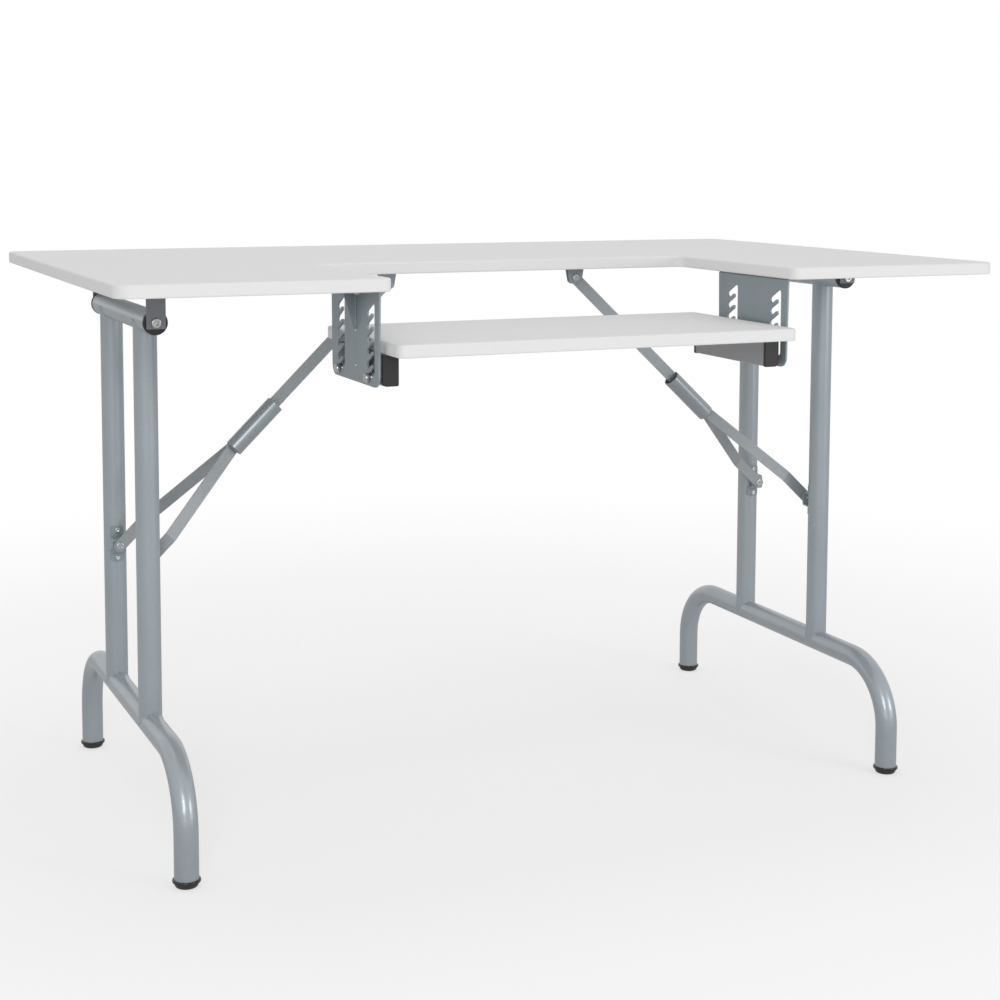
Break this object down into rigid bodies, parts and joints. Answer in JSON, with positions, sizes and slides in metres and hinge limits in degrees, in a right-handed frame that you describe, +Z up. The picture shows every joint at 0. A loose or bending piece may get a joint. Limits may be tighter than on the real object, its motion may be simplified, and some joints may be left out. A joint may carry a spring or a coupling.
{
  "type": "folding sewing cutting table",
  "caption": "Folding table for sewing and cutting: white board with a machine well, lowering shelf on notched brackets, and folding tube leg frames with locking braces",
  "frame": {"origin": "on the floor, below the middle of the table's outline, the shelf that stands 14 mm in front of the board included", "axes": "+Z up, +X to the right of the person who sits at the well, -Y towards that person"},
  "size_m": [1.2, 0.764, 0.73],
  "materials": {
    "white_laminate": "white melamine laminate, satin",
    "silver_grey_paint": "silver-grey powder coat, semi-gloss",
    "grey_bracket_paint": "grey powder coat, satin",
    "black_plastic": "black moulded plastic, fine texture",
    "zinc_fastener": "bright zinc plate"
  },
  "bodies": {
    "top": {"bracket_screws": "zinc_fastener", "clevis_pins": "zinc_fastener", "clevis_screws": "zinc_fastener", "hanger_screws": "zinc_fastener", "left_brace_clevis": "grey_bracket_paint", "left_front_pivot_hanger": "grey_bracket_paint", "left_rear_pivot_hanger": "grey_bracket_paint", "left_shelf_bracket": "grey_bracket_paint", "pivot_bolts": "zinc_fastener", "right_brace_clevis": "grey_bracket_paint", "right_front_pivot_hanger": "grey_bracket_paint", "right_rear_pivot_hanger": "grey_bracket_paint", "right_shelf_bracket": "grey_bracket_paint", "table_top": "white_laminate"},
    "shelf": {"left_front_rail_plug": "black_plastic", "left_rear_rail_plug": "black_plastic", "left_shelf_rail": "grey_bracket_paint", "rail_screws": "zinc_fastener", "right_front_rail_plug": "black_plastic", "right_rear_rail_plug": "black_plastic", "right_shelf_rail": "grey_bracket_paint", "shelf_board": "white_laminate", "shelf_pin_nuts": "zinc_fastener", "shelf_pins": "zinc_fastener"},
    "left_leg": {"left_foot_bar": "silver_grey_paint", "left_front_foot_cap": "black_plastic", "left_front_fork_saddle": "silver_grey_paint", "left_front_pivot_cap": "black_plastic", "left_front_upright": "silver_grey_paint", "left_pivot_tube": "silver_grey_paint", "left_rear_foot_cap": "black_plastic", "left_rear_fork_saddle": "silver_grey_paint", "left_rear_pivot_cap": "black_plastic", "left_rear_upright": "silver_grey_paint", "left_saddle_screws": "zinc_fastener"},
    "left_brace": {"left_elbow_rivet": "zinc_fastener", "left_upper_bar": "silver_grey_paint"},
    "left_sleeve": {"left_lock_sleeve": "silver_grey_paint"},
    "left_fork": {"left_fork_rivets": "zinc_fastener", "left_front_fork_bar": "silver_grey_paint", "left_rear_fork_bar": "silver_grey_paint"},
    "right_leg": {"right_foot_bar": "silver_grey_paint", "right_front_foot_cap": "black_plastic", "right_front_fork_saddle": "silver_grey_paint", "right_front_pivot_cap": "black_plastic", "right_front_upright": "silver_grey_paint", "right_pivot_tube": "silver_grey_paint", "right_rear_foot_cap": "black_plastic", "right_rear_fork_saddle": "silver_grey_paint", "right_rear_pivot_cap": "black_plastic", "right_rear_upright": "silver_grey_paint", "right_saddle_screws": "zinc_fastener"},
    "right_brace": {"right_elbow_rivet": "zinc_fastener", "right_upper_bar": "silver_grey_paint"},
    "right_sleeve": {"right_lock_sleeve": "silver_grey_paint"},
    "right_fork": {"right_fork_rivets": "zinc_fastener", "right_front_fork_bar": "silver_grey_paint", "right_rear_fork_bar": "silver_grey_paint"}
  },
  "joints": [
    {"name": "shelf_release", "type": "slide", "parent": "top", "child": "shelf", "axis": [0, -0.8746, 0.4848], "range_m": [0, 0.0195]},
    {"name": "left_leg_fold", "type": "hinge", "parent": "top", "child": "left_leg", "pos_m": [-0.5055, 0.007, 0.667], "axis": [0, -1, 0], "range_deg": [0, 66]},
    {"name": "left_brace_swing", "type": "hinge", "parent": "top", "child": "left_brace", "pos_m": [-0.145, 0.007, 0.697], "axis": [0, 1, 0], "range_deg": [0, 23.9]},
    {"name": "left_sleeve_slide", "type": "slide", "parent": "left_brace", "child": "left_sleeve", "axis": [0.714, 0, 0.7001], "range_m": [0, 0.15001]},
    {"name": "left_fork_fold", "type": "hinge", "parent": "left_brace", "child": "left_fork", "pos_m": [-0.35199, 0.007, 0.49403], "axis": [0, -1, 0], "range_deg": [0, 143.29]},
    {"name": "right_leg_fold", "type": "hinge", "parent": "top", "child": "right_leg", "pos_m": [0.5055, 0.007, 0.6975], "axis": [0, 1, 0], "range_deg": [0, 70]},
    {"name": "right_brace_swing", "type": "hinge", "parent": "top", "child": "right_brace", "pos_m": [0.145, 0.007, 0.697], "axis": [0, -1, 0], "range_deg": [0, 13.53]},
    {"name": "right_sleeve_slide", "type": "slide", "parent": "right_brace", "child": "right_sleeve", "axis": [-0.7295, 0, 0.684], "range_m": [0, 0.15001]},
    {"name": "right_fork_fold", "type": "hinge", "parent": "right_brace", "child": "right_fork", "pos_m": [0.35376, 0.007, 0.50127], "axis": [0, 1, 0], "range_deg": [0, 157.61]}
  ],
  "couplings": [
    {"joint": "left_brace_swing", "follows": "left_leg_fold", "ratio": 0.36208},
    {"joint": "left_sleeve_slide", "follows": "left_leg_fold", "m_per_rad": 0.13022},
    {"joint": "left_fork_fold", "follows": "left_leg_fold", "ratio": 2.1711},
    {"joint": "right_brace_swing", "follows": "right_leg_fold", "ratio": 0.19326},
    {"joint": "right_sleeve_slide", "follows": "right_leg_fold", "m_per_rad": 0.12278},
    {"joint": "right_fork_fold", "follows": "right_leg_fold", "ratio": 2.2515}
  ]
}
